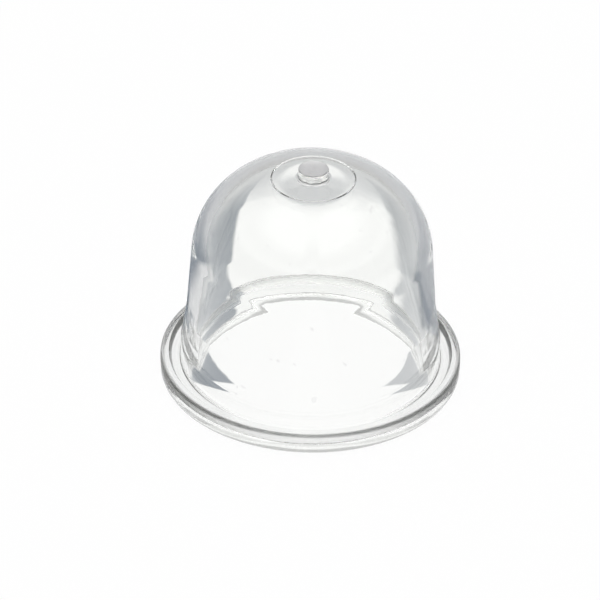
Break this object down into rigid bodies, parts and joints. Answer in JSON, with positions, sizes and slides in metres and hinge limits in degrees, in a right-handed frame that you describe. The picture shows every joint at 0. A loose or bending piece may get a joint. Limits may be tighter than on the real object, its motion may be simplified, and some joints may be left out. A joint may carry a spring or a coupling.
{
  "type": "primer bulb",
  "caption": "Clear soft-plastic primer bulb: a thin-walled dome on a round beaded flange, pressed with a thumb to draw fuel into a small engine's carburettor.",
  "frame": {"origin": "centre of the flange's underside", "axes": "+Z along the dome's axis, from the mouth towards the gate stub at the top"},
  "size_m": [0.022, 0.022, 0.0176],
  "materials": {
    "clear_plastic": "clear moulded polyurethane, glossy, with a matt cut face on the gate stub"
  },
  "bodies": {
    "root": {"primer_bulb": "clear_plastic"}
  },
  "joints": []
}
